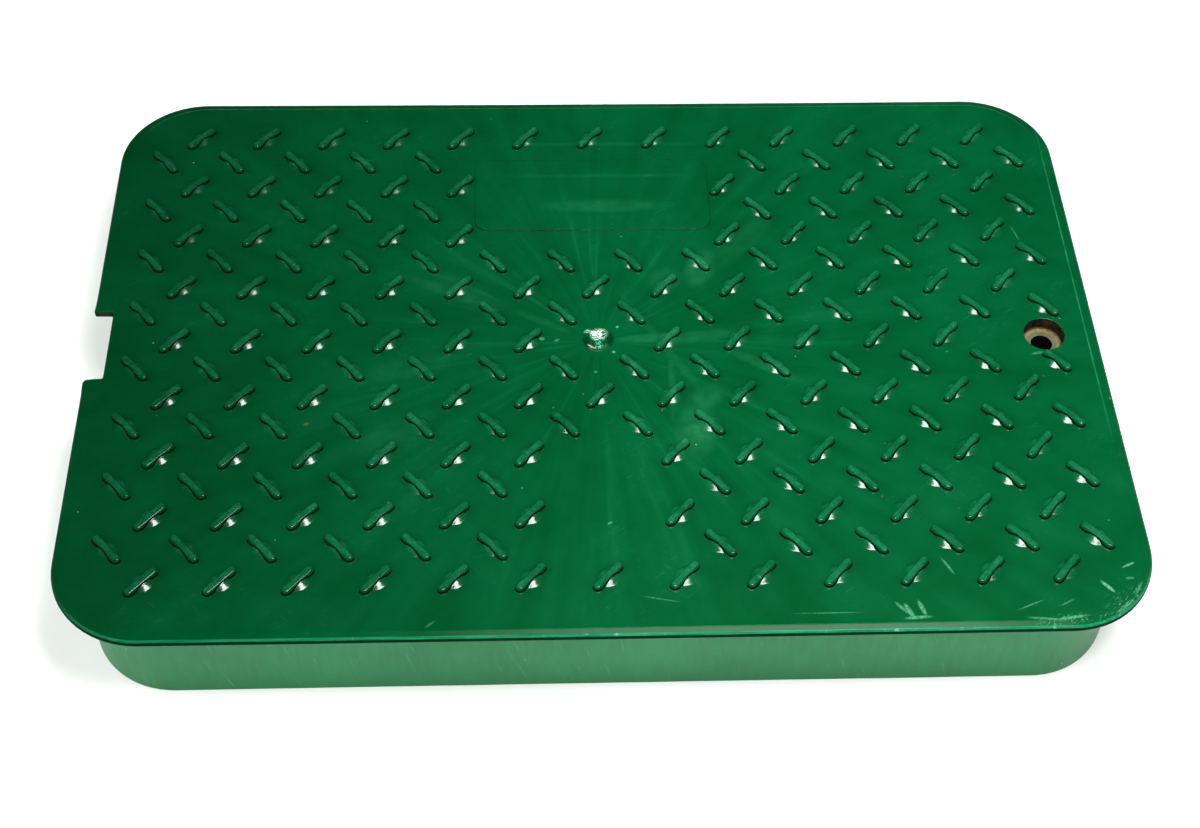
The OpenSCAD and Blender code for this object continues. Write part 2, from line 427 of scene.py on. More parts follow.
def gate_z(r, a):
    wob = 1 + 0.05 * np.sin(3 * a + 0.7) + 0.04 * np.sin(5 * a + 2.0)
    q = r / wob
    z = -0.53 * np.clip(6.5 - q, 0, 4.4) * smooth((7.4 - q) / 1.4)
    w = 1.9 + 0.3 * np.sin(2 * a + 1.0) + 0.2 * np.sin(5 * a)
    lump = smooth((w - r) / 1.1) * (1 + 0.22 * np.sin(3 * a + r * 1.7) + 0.18 * np.sin(7 * a - 2.0 * r))
    z = z + 1.35 * lump - 0.3 * smooth((0.9 - r) / 0.7)
    back = smooth((r - 2.0) / 1.2) * smooth((6.8 - r) / 1.2) * np.maximum(np.sin(a), 0)
    return z + 0.05 * back * (np.sin(3.6 * r * np.sin(a) + 0.8) + np.sin(4.3 * r * np.cos(a) - 1.1))


gx, gy = 7.6 * np.cos(ga), TREAD_Y + 7.6 * np.sin(ga)
prev = S.add(gx, gy, z_top(gx, gy))
put(gx, gy, prev, True)
holes.append((0.0, TREAD_Y, np.stack([gx, gy], 1)))
for r in (6.6, 6.1, 5.6, 5.1, 4.6, 4.1, 3.7, 3.3, 2.95, 2.65, 2.35, 2.05, 1.75, 1.45, 1.15, 0.85, 0.55, 0.28):
    gx, gy = r * np.cos(ga), TREAD_Y + r * np.sin(ga)
    now = S.add(gx, gy, z_top(gx, gy) + gate_z(r, ga))
    S.loft(prev, now)
    prev = now
mid = S.add(0.0, TREAD_Y, float(z_top(np.array(0.0), np.array(TREAD_Y))) + float(gate_z(np.array(0.0), np.array(0.0))))[0]
for i in range(NG):
    S.f.append((int(prev[i]), int(prev[(i + 1) % NG]), int(mid)))

# crease inside the rim, broken at the notch
for d in (-0.2, 0.0, 0.12, 0.24, 0.36):
    c = rr_outline(CREASE[0] + d, CREASE[1] + d, CREASE[2] + d, 5, 18)
    c[:, 1] += CREASE[3]
    keep = ~((c[:, 0] < -150) & (np.abs(c[:, 1] - NOTCH_Y) < NOTCH_W + 3.0))
    run = []
    k0 = int(np.argmax(~keep))
    order = list(range(k0, len(c))) + list(range(k0))
    order = [k for k in order if keep[k]]
    put(c[order, 0], c[order, 1], None, False)

# badge panel edge
for d in (-0.3, -0.12, -0.04, 0.04, 0.14, 0.5):
    c = rr_outline(BADGE[0] + d, BADGE[1] + d, BADGE[2] + d, 6, 8)
    put(c[:, 0], c[:, 1] + BADGE[3], None, True)

# the lug at the recess is part of the face itself
c, s = math.cos(NEAR_LUG[2]), math.sin(NEAR_LUG[2])
near_p, near_e, _ = lug_points(NEAR_CUT)
X = NEAR_LUG[0] + near_p[:, 0] * c - near_p[:, 1] * s
Y = NEAR_LUG[1] + near_p[:, 0] * s + near_p[:, 1] * c
ok = np.hypot(X - BX, Y) > 9.75
base = len(top_p)
new = np.cumsum(ok) - 1 + base
for k in np.nonzero(ok)[0]:
    top_p.append((X[k], Y[k]))
    top_id.append(-1)
top_e.extend((int(new[a]), int(new[b])) for a, b in near_e if ok[a] and ok[b])

# plain points that let the face follow its sag
P = np.array(top_p)
gx, gy = np.meshgrid(np.arange(-204, 205, 12.0), np.arange(-138, 139, 12.0))
gx = gx.ravel() + rng.uniform(-1, 1, gx.size)
gy = gy.ravel() + rng.uniform(-1, 1, gy.size)
free = -rr_sdf(gx, gy, HX, HY, CR) > 7.5
for hx_, hy_, poly in holes:
    free &= ~((np.hypot(gx - hx_, gy - hy_) < 12.5) & inside(gx, gy, poly))
d2 = ((gx[:, None] - P[None, :, 0]) ** 2 + (gy[:, None] - P[None, :, 1]) ** 2).min(1)
free &= d2 > 9.0
free &= ~((gx < NOTCH_X + 6) & (np.abs(gy - NOTCH_Y) < NOTCH_W + 4))
put(gx[free], gy[free])

out, tris, src = triangulate(np.array(top_p), top_e)
cen = out[tris].mean(1)
keep = inside(cen[:, 0], cen[:, 1], face_outline)
for hx_, hy_, poly in holes:
    m = np.nonzero(np.hypot(cen[:, 0] - hx_, cen[:, 1] - hy_) < 10.5)[0]
    keep[m] &= ~inside(cen[m, 0], cen[m, 1], poly)
tris = tris[keep]
ids = np.array([top_id[s] if s >= 0 else -1 for s in src])
fresh = ids < 0
fx, fy = out[fresh, 0], out[fresh, 1]
# painted shade along the near lug's bar and the badge's front edge, strongest at the front
gr, tp_ = lug_marks(*local(fx, fy, *NEAR_LUG), NEAR_LUG[2], NEAR_CUT)
gr = np.maximum(gr, (0.30 - 0.16 * np.clip((fy - BADGE[3]) / BADGE[1], -1, 1)) * np.interp(rr_sdf(fx, fy - BADGE[3], *BADGE[:3]), [-0.3, -0.1, 0.14, 0.5], [0, 1, 1, 0]))
fresh_ids = S.add(fx, fy, z_top(fx, fy), painted_shade=gr, lugtop=tp_)
ids[fresh] = fresh_ids
S.f.extend((int(ids[a]), int(ids[b]), int(ids[c])) for a, b, c in tris)

# ------------------------------------------------------------------ skirt
rib_x = [-205 + 41.0 * i for i in range(1, 10)]
rib_y = [-138.5 + 277.0 / 7 * j for j in range(1, 7)]
K = rr_outline(HX - OVER_X, HY - OVER_Y, SKIRT_R, 5, 18)
k_near = smooth(1 - (np.abs(K[:, 1] - NOTCH_Y) - NOTCH_W) / 12.0) * (K[:, 0] < -150)
fil = 0.9 + (0.25 - 0.9) * k_near
seam = TOP - PLATE_T - dish(K[:, 0], K[:, 1])


def ripple(x, y, f, seed):
    """Slow waviness, a few waves long."""
    g = np.random.default_rng(seed)
    v = np.zeros(len(x))
    for _ in range(5):
        a, ph = g.uniform(0, 2 * math.pi), g.uniform(0, 6.28)
        k = f * g.uniform(0.6, 1.6)
        v += np.sin((x * math.cos(a) + y * math.sin(a)) * k + ph)
    return v / 5


wall = []
for deg in (0, 30, 60, 90):
    t = math.radians(deg)
    x, y = off(K, -fil * (1 - math.sin(t)))
    wall.append(S.add(x, y, seam - fil * (1 - math.cos(t)), skirt=1))
for frac in (0.2, 0.45, 0.7, 0.92):
    bulge = 0.10 * ripple(K[:, 0], K[:, 1], 0.05, 3) * math.sin(math.pi * frac)
    x, y = off(K, 0.08 + bulge)
    wall.append(S.add(x, y, (seam - fil) * (1 - frac) + 1.2 * frac, skirt=1))
foot_z = 0.16 * (1 + ripple(K[:, 0], K[:, 1], 0.13, 5)) * 0.9
foot_z = np.maximum(foot_z - 0.05, 0)
x, y = off(K, 0.08)
wall.append(S.add(x, y, 0.7 + foot_z, skirt=1))
x, y = off(K, 0.2)
wall.append(S.add(x, y, 0.22 + foot_z, skirt=1))
x, y = off(K, 0.55)
foot = S.add(x, y, foot_z, skirt=1)
foot_xy = np.stack([x, y], 1)
wall.append(foot)
for a, b in zip(wall[:-1], wall[1:]):
    S.loft(a, b)
    for k in range(len(S.f) - len(a), len(S.f)):
        S.f[k] = S.f[k][::-1]

# flange underside, between the rim and the skirt
ox, oy = off(O, low)
kx, ky = off(K, -fil)
pts = np.concatenate([np.stack([ox, oy], 1), np.stack([kx, ky], 1)])
eds = ring_edges(0, len(O)) + ring_edges(len(O), len(K))
own = np.concatenate([rim[-1], wall[0]])
q, t3, src = triangulate(pts, eds)
cen = q[t3].mean(1)
t3 = t3[inside(cen[:, 0], cen[:, 1], pts[:len(O)]) & ~inside(cen[:, 0], cen[:, 1], pts[len(O):])]
for a, b, c in t3:
    S.f.append((int(own[src[c]]), int(own[src[b]]), int(own[src[a]])))

# inner face of the skirt, ribs, boss and pockets: flat regions at their own heights with walls between
IX, IY, IR = HX - OVER_X - SKIRT_T, HY - OVER_Y - SKIRT_T, SKIRT_R - SKIRT_T
boss_y = math.sqrt(BOSS_R ** 2 - (IX - BX) ** 2)
must_x = [v + s for v in rib_x for s in (-RIB_T / 2, RIB_T / 2)]
must_y = [v + s for v in rib_y for s in (-RIB_T / 2, RIB_T / 2)] + [-boss_y, boss_y]
I = rr_outline(IX, IY, IR, 8, 14, (must_x, must_y))
tp = [tuple(p[:2]) for p in I]
te = ring_edges(0, len(I))


def strut(x0, y0, x1, y1):
    tp.append((x0, y0)); tp.append((x1, y1))
    te.append((len(tp) - 2, len(tp) - 1))


for v in must_x:
    strut(v, -IY, v, IY)
for v in must_y[:-2]:
    strut(-IX, v, IX, v)
b0 = math.atan2(boss_y, IX - BX)
ba = np.linspace(b0, 2 * math.pi - b0, 34)
base = len(tp)
tp += [(BX + BOSS_R * math.cos(a), BOSS_R * math.sin(a)) for a in ba]
te += ring_edges(base, len(ba), False)
hole_base = len(tp)
tp += [(BX + (BOLT_R + 0.25) * c_, (BOLT_R + 0.25) * s_) for c_, s_ in zip(ca, sa)]
te += ring_edges(hole_base, NR)
q, t3, src = triangulate(np.array(tp), te)
cen = q[t3].mean(1)
cx, cy = cen[:, 0], cen[:, 1]
good = inside(cx, cy, I[:, :2]) & ~inside(cx, cy, np.array(tp[hole_base:hole_base + NR]))
t3, cx, cy = t3[good], cx[good], cy[good]
is_rib = np.zeros(len(cx), bool)
for v in rib_x:
    is_rib |= np.abs(cx - v) < RIB_T / 2
for v in rib_y:
    is_rib |= np.abs(cy - v) < RIB_T / 2
is_boss = np.hypot(cx - BX, cy) < BOSS_R - 0.02
level = np.where(is_boss, 2, np.where(is_rib, 1, 0))


def level_z(lv, x, y):
    if lv == 3:
        return 0.6
    if lv == 2:
        return BOSS_Z
    if lv == 1:
        return RIB_Z
    return TOP - PLATE_T - float(dish(np.array(x), np.array(y)))


hole_of = {}
for k, s_ in enumerate(src):
    if s_ >= hole_base:
        hole_of[k] = int(rec[-1][s_ - hole_base])
made = {}


def vertex(k, lv):
    if lv == 2 and k in hole_of:
        return hole_of[k]
    if (k, lv) not in made:
        made[(k, lv)] = int(S.add(q[k, 0], q[k, 1], level_z(lv, q[k, 0], q[k, 1]), inner=1)[0])
    return made[(k, lv)]


edge_of, levels_at = {}, {}
for t, lv in zip(t3, level):
    S.f.append((vertex(t[2], lv), vertex(t[1], lv), vertex(t[0], lv)))
    for i in range(3):
        a, b = int(t[i]), int(t[(i + 1) % 3])
        edge_of[(a, b)] = int(lv)
        levels_at.setdefault(a, set()).add(int(lv))
outer = []
for (a, b), lv in list(edge_of.items()):
    if (b, a) not in edge_of:
        if a in hole_of and b in hole_of:
            continue
        edge_of[(b, a)] = 3
        outer.append((a, b))
        levels_at[a].add(3)
        levels_at.setdefault(b, set()).add(3)
for (a, b), lv in edge_of.items():
    other = edge_of.get((b, a))
    if other is None or a > b or other == lv:
        continue
    # walk a's column from this side's height to the other's, then b's back
    def column(k, l0, l1):
        z0, z1 = level_z(l0, *q[k]), level_z(l1, *q[k])
        mids = [m for m in levels_at[k] if m not in (l0, l1) and min(z0, z1) < level_z(m, *q[k]) < max(z0, z1)]
        mids.sort(key=lambda m: level_z(m, *q[k]), reverse=z0 > z1)
        return [vertex(k, m) for m in [l0] + mids + [l1]]
    S.f.append(tuple(column(a, lv, other) + column(b, other, lv)))

# foot, from the skirt's outer edge to its inner face
nxt = {a: b for a, b in outer}
start = outer[0][0]
chain = [start]
while nxt[chain[-1]] != start:
    chain.append(nxt[chain[-1]])
cx, cy = q[chain, 0], q[chain, 1]
e = 0.05
gx_ = (rr_sdf(cx + e, cy, IX, IY, IR) - rr_sdf(cx - e, cy, IX, IY, IR)) / (2 * e)
gy_ = (rr_sdf(cx, cy + e, IX, IY, IR) - rr_sdf(cx, cy - e, IX, IY, IR)) / (2 * e)
L = np.hypot(gx_, gy_)
gx_, gy_ = gx_ / L, gy_ / L
inner_ring = np.array([vertex(k, 3) for k in chain])
in_z = np.maximum(0.16 * (1 + ripple(cx, cy, 0.13, 5)) * 0.9 - 0.05, 0)
mid_ring = S.add(cx + 0.18 * gx_, cy + 0.18 * gy_, 0.18 + in_z, inner=1)
foot_in = S.add(cx + 0.55 * gx_, cy + 0.55 * gy_, in_z, inner=1)
S.loft(inner_ring, mid_ring)
S.loft(mid_ring, foot_in)
pts = np.concatenate([foot_xy, np.stack([cx + 0.55 * gx_, cy + 0.55 * gy_], 1)])
own = np.concatenate([foot, foot_in])
q2, t3, src = triangulate(pts, ring_edges(0, len(foot)) + ring_edges(len(foot), len(foot_in)))
cen = q2[t3].mean(1)
t3 = t3[inside(cen[:, 0], cen[:, 1], pts[:len(foot)]) & ~inside(cen[:, 0], cen[:, 1], pts[len(foot):])]
for a, b, c in t3:
    S.f.append((int(own[src[c]]), int(own[src[b]]), int(own[src[a]])))


# ------------------------------------------------------------------ the mesh and its normals
def build(name, verts, faces, tags):
    used = np.unique(np.concatenate([np.array(f) for f in faces]))
    index = np.full(len(verts), -1)
    index[used] = np.arange(len(used))
    me = bpy.data.meshes.new(name)
    me.from_pydata((verts[used] / 1000.0).tolist(), [], [tuple(int(index[k]) for k in f) for f in faces])
    bm = bmesh.new()
    bm.from_mesh(me)
    bmesh.ops.recalc_face_normals(bm, faces=bm.faces)
    bm.to_mesh(me)
    bm.free()
    for k, v in tags.items():
        me.attributes.new(k, "FLOAT", "POINT").data.foreach_set("value", v[used].astype(np.float32))
    me.update()
    return me


V = S.points()
me = build("cover_moulding", V, S.f, {k: np.concatenate(v) for k, v in S.tag.items()})


def weighted_normals(me, angle):
    """Corner normals: neighbours within the angle are averaged by area, so flat areas stay flat and fillets stay round."""
    nl, npoly = len(me.loops), len(me.polygons)
    lv = np.empty(nl, np.int32); me.loops.foreach_get("vertex_index", lv)
    ls = np.empty(npoly, np.int32); me.polygons.foreach_get("loop_start", ls)
    lt = np.empty(npoly, np.int32); me.polygons.foreach_get("loop_total", lt)
    fn = np.empty(npoly * 3, np.float32); me.polygons.foreach_get("normal", fn); fn = fn.reshape(-1, 3).astype(float)
    fa = np.empty(npoly, np.float32); me.polygons.foreach_get("area", fa)
    lf = np.repeat(np.arange(npoly), lt)
    order = np.argsort(lv, kind="stable")
    sv = lv[order]
    acc = fn[lf] * fa[lf][:, None]
    cosa = math.cos(math.radians(angle))
    n = len(order)
    first = np.searchsorted(sv, sv, "left")
    count = np.searchsorted(sv, sv, "right") - first
    rank = np.arange(n) - first
    for step in range(1, int(count.max())):
        other = first + (rank + step) % np.maximum(count, 1)
        m = step < count
        a, b = order[m], order[other[m]]
        d = (fn[lf[a]] * fn[lf[b]]).sum(1) > cosa
        np.add.at(acc, a[d], fn[lf[b[d]]] * fa[lf[b[d]]][:, None])
    acc /= np.maximum(np.linalg.norm(acc, axis=1), 1e-12)[:, None]
    me.polygons.foreach_set("use_smooth", np.ones(npoly, bool))
    me.normals_split_custom_set(acc.tolist())


weighted_normals(me, 42)
cover = bpy.data.objects.new("cover_moulding", me)
bpy.context.scene.collection.objects.link(cover)

# ------------------------------------------------------------------ materials
class Nodes:
    """Small helpers over one node tree. Lengths are millimetres in the object's own frame."""

    def __init__(self, name):
        self.mat = bpy.data.materials.new(name)
        self.mat.use_nodes = True
        self.t = self.mat.node_tree
        self.t.nodes.clear()
        self.out = self.t.nodes.new("ShaderNodeOutputMaterial")
        self.bsdf = self.t.nodes.new("ShaderNodeBsdfPrincipled")
        self.t.links.new(self.bsdf.outputs[0], self.out.inputs[0])
        tc = self.t.nodes.new("ShaderNodeTexCoord")
        sc = self.t.nodes.new("ShaderNodeVectorMath")
        sc.operation = "SCALE"
        sc.inputs["Scale"].default_value = 1000.0
        self.t.links.new(tc.outputs["Object"], sc.inputs[0])
        self.p = sc.outputs[0]
        sp = self.t.nodes.new("ShaderNodeSeparateXYZ")
        self.t.links.new(self.p, sp.inputs[0])
        self.x, self.y, self.z = sp.outputs
        self.q = self.vec(self.x, self.y, 1.0)

    def feed(self, socket, v):
        if isinstance(v, (int, float)):
            socket.default_value = v
        elif isinstance(v, tuple):
            socket.default_value = v if len(v) == len(socket.default_value) else v + (1.0,)
        else:
            self.t.links.new(v, socket)

    def math(self, op, a, b=0.0, clamp=False):
        n = self.t.nodes.new("ShaderNodeMath")
        n.operation, n.use_clamp = op, clamp
        self.feed(n.inputs[0], a)
        self.feed(n.inputs[1], b)
        return n.outputs[0]

    def add(self, a, b): return self.math("ADD", a, b)
    def sub(self, a, b): return self.math("SUBTRACT", a, b)
    def mul(self, a, b): return self.math("MULTIPLY", a, b)
    def top(self, a, b): return self.math("MAXIMUM", a, b)

    def ramp(self, v, a, b, c=0.0, d=1.0, kind="SMOOTHSTEP"):
        n = self.t.nodes.new("ShaderNodeMapRange")
        n.interpolation_type = kind
        for k, q in zip(("Value", "From Min", "From Max", "To Min", "To Max"), (v, a, b, c, d)):
            self.feed(n.inputs[k], q)
        return n.outputs[0]

    def noise(self, size, detail=3.0, rough=0.5, vec=None, distort=0.0):
        n = self.t.nodes.new("ShaderNodeTexNoise")
        self.feed(n.inputs["Vector"], vec or self.p)
        n.inputs["Scale"].default_value = 1.0 / size
        n.inputs["Detail"].default_value = detail
        n.inputs["Roughness"].default_value = rough
        n.inputs["Distortion"].default_value = distort
        return n.outputs["Fac"]

    def place(self, x, y, angle, sx, sy, vec=None):
        """Coordinates about a point, turned and stretched."""
        n = self.t.nodes.new("ShaderNodeMapping")
        n.vector_type = "TEXTURE"
        self.feed(n.inputs["Vector"], vec or self.p)
        n.inputs["Location"].default_value = (x, y, 0)
        n.inputs["Rotation"].default_value = (0, 0, math.radians(angle))
        n.inputs["Scale"].default_value = (sx, sy, 60.0)
        return n.outputs[0]

    def vec(self, x, y, z):
        n = self.t.nodes.new("ShaderNodeCombineXYZ")
        for s, v in zip(n.inputs, (x, y, z)):
            self.feed(s, v)
        return n.outputs[0]

    def plane(self, a, b, c):
        """a x + b y + c"""
        n = self.t.nodes.new("ShaderNodeVectorMath")
        n.operation = "DOT_PRODUCT"
        self.feed(n.inputs[0], self.q)
        n.inputs[1].default_value = (a, b, c)
        return n.outputs["Value"]

    def blob(self, x, y, angle, sx, sy, soft=0.6):
        """A soft ellipse: middle, turn in degrees and half sizes."""
        c, s = math.cos(math.radians(angle)), math.sin(math.radians(angle))
        u = self.plane(c / sx, s / sx, -(x * c + y * s) / sx)
        v = self.plane(-s / sy, c / sy, (x * s - y * c) / sy)
        n = self.t.nodes.new("ShaderNodeMath")
        n.operation = "MULTIPLY_ADD"
        self.feed(n.inputs[0], v)
        self.feed(n.inputs[1], v)
        self.feed(n.inputs[2], self.mul(u, u))
        return self.ramp(n.outputs[0], 1.0, (1.0 - soft) ** 2)

    def blobs(self, rows, soft=0.6):
        m = None
        for r in rows:
            b = self.blob(*r[:5], soft)
            if len(r) > 5:
                b = self.mul(b, r[5])
            m = b if m is None else self.top(m, b)
        return m

    def attr(self, name):
        n = self.t.nodes.new("ShaderNodeAttribute")
        n.attribute_name = name
        return n.outputs["Fac"]

    def mix(self, f, a, b):
        n = self.t.nodes.new("ShaderNodeMix")
        n.data_type = "RGBA"
        self.feed(n.inputs["Factor"], f)
        self.feed(n.inputs[6], a)
        self.feed(n.inputs[7], b)
        return n.outputs[2]

    def lerp(self, f, a, b):
        n = self.t.nodes.new("ShaderNodeMix")
        n.data_type = "FLOAT"
        self.feed(n.inputs[0], f)
        self.feed(n.inputs[2], a)
        self.feed(n.inputs[3], b)
        return n.outputs[0]

    def bump(self, height, dist, normal=None):
        n = self.t.nodes.new("ShaderNodeBump")
        n.inputs["Strength"].default_value = 1.0
        n.inputs["Distance"].default_value = dist
        self.feed(n.inputs["Height"], height)
        if normal is not None:
            self.t.links.new(normal, n.inputs["Normal"])
        return n.outputs[0]


# worn places on the face: x, y, turn, half length, half width and how strong
SCUFFS = ((194.6, -130.4, -50, 4.4, 1.0, 0.7), (204.6, -120.5, 24, 3.6, 0.7, 0.6), (204.0, -126.7, 4, 2.2, 0.7, 0.45),
          (115.6, -140.0, -66, 4.8, 1.3, 0.55), (120.6, -138.6, -72, 4.6, 1.2, 0.5), (112.8, -138.4, -50, 4.4, 0.9, 0.4),
          (118.6, -143.0, 4, 6.5, 1.0, 0.5), (133.4, -119.2, -62, 5.6, 0.7, 0.4), (163.0, -138.2, 22, 7.0, 0.5, 0.3),
          (177.4, -137.4, 28, 4.4, 0.5, 0.25), (188.0, -10.6, 12, 3.4, 0.9, 0.3), (84.0, -140.2, 0, 16.0, 0.4, 0.25),
          (59.1, -124.3, -50, 1.6, 0.5, 0.4), (20.0, -132.4, -12, 9.0, 0.4, 0.25), (-68.5, -142.4, 40, 3.0, 0.6, 0.25),
          (1.7, -95.6, 30, 1.4, 0.6, 0.5), (200.0, -139.2, 40, 6.0, 0.9, 0.45), (206.6, -131.4, 58, 4.5, 0.7, 0.4),
          (178.0, -144.2, 8, 8.0, 0.9, 0.55), (168.0, -144.6, -6, 9.0, 0.7, 0.4), (-17.6, 1.4, 30, 1.6, 0.9, 0.4),
          (-24.0, 2.2, -10, 1.6, 1.2, 0.5), (8.6, 8.6, 40, 0.9, 0.8, 0.7), (6.6, -5.6, 0, 1.0, 0.9, 0.6),
          (-1.4, -16.6, 0, 0.9, 0.9, 0.4), (190.0, 60.0, -74, 6.0, 0.4, 0.25))
HAZES = ((39.5, -48.7, 80, 17.0, 11.0, 1.0), (43.9, -32.0, 40, 12.0, 7.0, 0.7), (46.6, 42.3, 70, 14.0, 8.0, 0.9),
         (30.7, 35.5, 30, 10.0, 8.0, 0.5), (24.0, 2.0, 3, 19.0, 3.2, 1.0), (44.0, 2.5, 8, 24.0, 4.0, 0.6),
         (70.0, -14.0, -32, 22.0, 3.4, 0.6), (-60.0, 28.0, -24, 34.0, 4.5, 0.55), (-82.0, -14.0, 16, 30.0, 7.0, 0.30),
         (-24.0, 12.0, -28, 18.0, 2.2, 0.5), (-88.0, -50.0, 30, 22.0, 12.0, 0.35), (28.0, -2.0, -60, 46.0, 2.6, 0.35),
         (30.5, -25.0, 88, 24.0, 2.0, 0.55), (68.0, 60.0, 50, 26.0, 7.0, 0.35), (5.8, 80.5, 0, 34.0, 5.0, 0.6),
         (2.0, 120.2, 0, 60.0, 1.6, 0.4), (4.0, 99.6, 0, 56.0, 1.6, 0.35))

G = Nodes("green_plastic")
# flow marks spread out from the gate
gate_y = G.sub(G.y, TREAD_Y)
ang = G.math("ARCTAN2", gate_y, G.x)
rad = G.math("SQRT", G.add(G.mul(G.x, G.x), G.mul(gate_y, gate_y)))
cosv, sinv = G.math("COSINE", ang), G.math("SINE", ang)
flow = G.noise(1.0, 3.0, 0.55, G.vec(G.mul(cosv, 12.0), G.mul(sinv, 12.0), G.mul(rad, 0.012)))
mottle = G.noise(46.0, 2.0, 0.55, None, 0.4)
cloth = G.noise(9.0, 3.0, 0.6)
grain = G.noise(0.5, 2.0, 0.6)
shade = G.add(G.ramp(flow, 0.3, 0.7, -0.6, 0.6, "LINEAR"), G.ramp(mottle, 0.3, 0.7, -0.7, 0.7, "LINEAR"))
shade = G.add(shade, G.ramp(cloth, 0.3, 0.7, -0.3, 0.3, "LINEAR"))
col = G.mix(G.ramp(shade, -1.0, 1.0, 0.0, 1.0, "LINEAR"), (0.0, 0.044, 0.0107), (0.0, 0.062, 0.0177))
rough = G.ramp(shade, -1.0, 1.0, 0.17, 0.22, "LINEAR")

# hazy, slightly greyed patches
haze = G.mul(G.blobs(HAZES, 0.95), G.ramp(G.noise(6.0, 3.0, 0.6), 0.34, 0.66, 0.35, 1.0, "LINEAR"))
fan = G.mul(G.ramp(flow, 0.56, 0.72), G.mul(G.ramp(rad, 8.0, 22.0), G.ramp(rad, 150.0, 50.0)))
haze = G.top(haze, G.mul(fan, 0.3))
col = G.mix(G.mul(haze, 0.5), col, (0.010, 0.135, 0.052))
rough = G.lerp(haze, rough, 0.28)

# fine scratches and dust
s1 = G.ramp(G.noise(1.0, 1.0, 0.5, G.place(0, 0, 34, 9.0, 0.17)), 0.72, 0.79)
s2 = G.ramp(G.noise(1.0, 1.0, 0.5, G.place(0, 0, -41, 7.0, 0.15)), 0.73, 0.80)
where = G.ramp(mottle, 0.45, 0.62)
scratch = G.mul(G.top(s1, s2), where)
col = G.mix(G.mul(scratch, 0.25), col, (0.08, 0.30, 0.17))
wear_n = G.noise(1.0, 3.0, 0.7, G.place(0, 0, 36, 1.6, 0.6))
scuff = G.mul(G.blobs(SCUFFS, 0.85), G.ramp(wear_n, 0.32, 0.60, 0.2, 1.0, "LINEAR"))
edge_scuff = G.mul(G.blobs(((199.0, -140.0, 40, 17.0, 7.0, 0.55), (176.0, -145.0, 6, 15.0, 3.6, 0.55)), 0.9), G.ramp(wear_n, 0.55, 0.66))
scuff = G.top(scuff, edge_scuff)
col = G.mix(G.mul(scuff, 0.9), col, (0.11, 0.40, 0.23))
rough = G.lerp(scuff, rough, 0.45)
vor = G.t.nodes.new("ShaderNodeTexVoronoi")
G.feed(vor.inputs["Vector"], G.p)
vor.inputs["Scale"].default_value = 1 / 6.5
pick = G.t.nodes.new("ShaderNodeSeparateColor")
G.t.links.new(vor.outputs["Color"], pick.inputs[0])
dot = G.ramp(vor.outputs["Distance"], 0.075, 0.035)
speck = G.mul(G.mul(dot, G.ramp(pick.outputs[0], 0.90, 0.92)), G.ramp(mottle, 0.42, 0.6, 0.25, 1.0, "LINEAR"))
speck_b = G.top(G.mul(dot, G.ramp(pick.outputs[1], 0.975, 0.98)), G.blobs(((-121.7, -43.7, 20, 1.5, 0.9), (-86.2, -84.9, 60, 1.3, 0.8)), 0.5))
col = G.mix(G.mul(speck, 0.55), col, (0.30, 0.48, 0.38))
col = G.mix(G.mul(speck_b, 0.7), col, (0.09, 0.06, 0.03))

# the bars' tops and buttons are a little scuffed
tops = G.mul(G.attr("lugtop"), G.ramp(cloth, 0.36, 0.62, 0.35, 1.0, "LINEAR"))
tops = G.mul(tops, G.ramp(G.noise(1.5, 3.0, 0.7), 0.38, 0.64, 0.25, 1.0, "LINEAR"))
col = G.mix(G.mul(tops, 0.5), col, (0.014, 0.165, 0.075))

# light line along the crease of the border at one end: whitening wear with a painted highlight
crease_wear_and_glint = G.mul(G.ramp(G.math("ABSOLUTE", G.sub(G.x, CREASE[0] - 0.1)), 0.5, 0.2), G.ramp(G.math("ABSOLUTE", G.sub(G.y, 34.0)), 108.0, 40.0))
col = G.mix(G.mul(crease_wear_and_glint, G.ramp(cloth, 0.35, 0.6, 0.25, 0.6, "LINEAR")), col, (0.012, 0.19, 0.085))

# rounded rim: paler, as wear and a painted sheen strongest at the front, with lines along it and whitened spots
# towards one corner
rim = G.attr("rim")
streak = G.noise(1.0, 2.0, 0.6, G.vec(G.mul(G.x, 0.05), G.mul(G.y, 2.6), G.mul(G.z, 2.6)))
rim_sheen_and_wear = G.mix(G.ramp(streak, 0.40, 0.60, 0.0, 1.0, "LINEAR"), (0.001, 0.105, 0.036), (0.010, 0.175, 0.072))
worn = G.blobs(((196.0, -140.0, 42, 30.0, 11.0), (176.0, -147.5, 0, 22.0, 5.0), (120.0, -147.5, 0, 60.0, 3.4), (20.0, -147.4, 0, 150.0, 2.6, 0.75)), 0.7)
rimwear = G.mul(worn, G.ramp(G.noise(4.0, 4.0, 0.75), 0.56, 0.70))
rim_sheen_and_wear = G.mix(G.mul(rimwear, 0.7), rim_sheen_and_wear, (0.13, 0.42, 0.26))
rim_sheen_mask = G.mul(rim, G.ramp(G.y, -120.0, -146.0, 0.15, 1.0, "LINEAR"))
col = G.mix(rim_sheen_mask, col, rim_sheen_and_wear)
strip = G.mul(G.ramp(G.y, -143.4, -144.4), G.ramp(G.x, 130.0, -40.0, 0.93, 1.0, "LINEAR"))
spec = G.lerp(rim, G.sub(0.5, G.mul(strip, 0.46)), G.ramp(G.add(G.x, G.mul(streak, 80.0)), -60.0, 140.0, 0.04, 0.13, "LINEAR"))
rough = G.lerp(rim, rough, 0.26)

# painted shade: the colour darkens towards the left end, as light falling off
painted_falloff = G.ramp(G.x, -215.0, 10.0, 0.54, 1.0, "LINEAR")
falloff_col = G.t.nodes.new("ShaderNodeVectorMath")
falloff_col.operation = "SCALE"
G.feed(falloff_col.inputs[0], col)
G.feed(falloff_col.inputs["Scale"], painted_falloff)
col = falloff_col.outputs[0]
